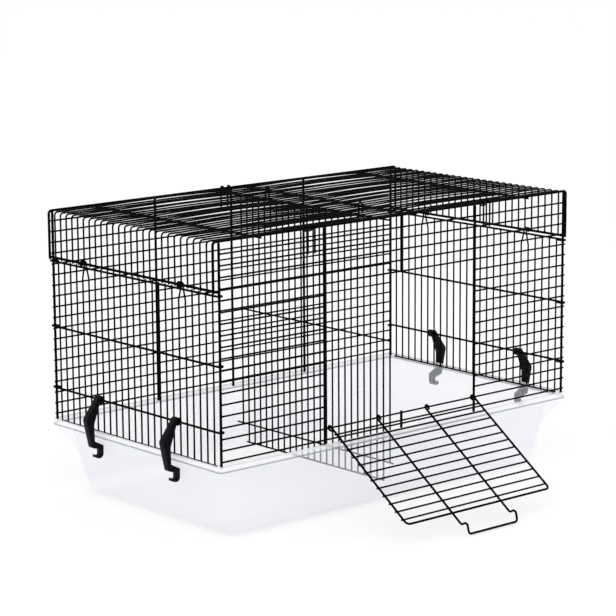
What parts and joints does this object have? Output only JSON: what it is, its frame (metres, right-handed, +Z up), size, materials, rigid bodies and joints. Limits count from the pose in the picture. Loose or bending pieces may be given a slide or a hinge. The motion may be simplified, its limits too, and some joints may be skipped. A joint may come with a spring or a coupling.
{
  "type": "rodent cage",
  "caption": "Wire rodent cage on a clear tray, with a drop-down wire door, a middle divider and swing clips that hold the wire top.",
  "frame": {"origin": "middle of the tray's flat base, on the floor", "axes": "+X along the cage, -Y towards the door side, +Z up"},
  "size_m": [0.4566, 0.363, 0.2714],
  "materials": {
    "tray": "clear, smooth",
    "wire": "black coating, semi-gloss",
    "clips": "black, satin"
  },
  "bodies": {
    "cage": {"tray": "tray", "front_bars": "wire", "front_posts": "wire", "front_hinge_hairpins": "wire", "back_bars": "wire", "back_posts": "wire", "back_hinge_hairpin": "wire", "left_end_bars": "wire", "left_hinge_loops": "wire", "left_end_rails": "wire", "left_foot_rail": "wire", "left_apron_rail": "wire", "right_end_bars": "wire", "right_hinge_loops": "wire", "right_end_rails": "wire", "right_foot_rail": "wire", "right_apron_rail": "wire", "roof_wires": "wire", "roof_edge_wires": "wire", "roof_cross_wires": "wire"},
    "door": {"door_frame": "wire", "door_handle": "wire", "door_bars": "wire"},
    "divider": {"divider_bars": "wire", "divider_rails": "wire", "divider_hooks": "wire"},
    "left_front_clip": {"left_front_clip": "clips"},
    "left_back_clip": {"left_back_clip": "clips"},
    "right_front_clip": {"right_front_clip": "clips"},
    "right_back_clip": {"right_back_clip": "clips"}
  },
  "joints": [
    {"name": "door_hinge", "type": "hinge", "parent": "cage", "child": "door", "pos_m": [0, -0.12205, 0.0848], "axis": [-1, 0, 0], "range_deg": [0, 123]},
    {"name": "divider_slide", "type": "slide", "parent": "cage", "child": "divider", "axis": [1, 0, 0], "range_m": [-0.015, 0.015]},
    {"name": "left_front_clip_hinge", "type": "hinge", "parent": "cage", "child": "left_front_clip", "pos_m": [-0.21225, -0.06045, 0.1005], "axis": [0, 1, 0], "range_deg": [0, 70]},
    {"name": "left_back_clip_hinge", "type": "hinge", "parent": "cage", "child": "left_back_clip", "pos_m": [-0.21225, 0.05115, 0.1005], "axis": [0, 1, 0], "range_deg": [0, 70]},
    {"name": "right_front_clip_hinge", "type": "hinge", "parent": "cage", "child": "right_front_clip", "pos_m": [0.21225, -0.06045, 0.1005], "axis": [0, -1, 0], "range_deg": [0, 70]},
    {"name": "right_back_clip_hinge", "type": "hinge", "parent": "cage", "child": "right_back_clip", "pos_m": [0.21225, 0.06045, 0.1005], "axis": [0, -1, 0], "range_deg": [0, 70]}
  ]
}
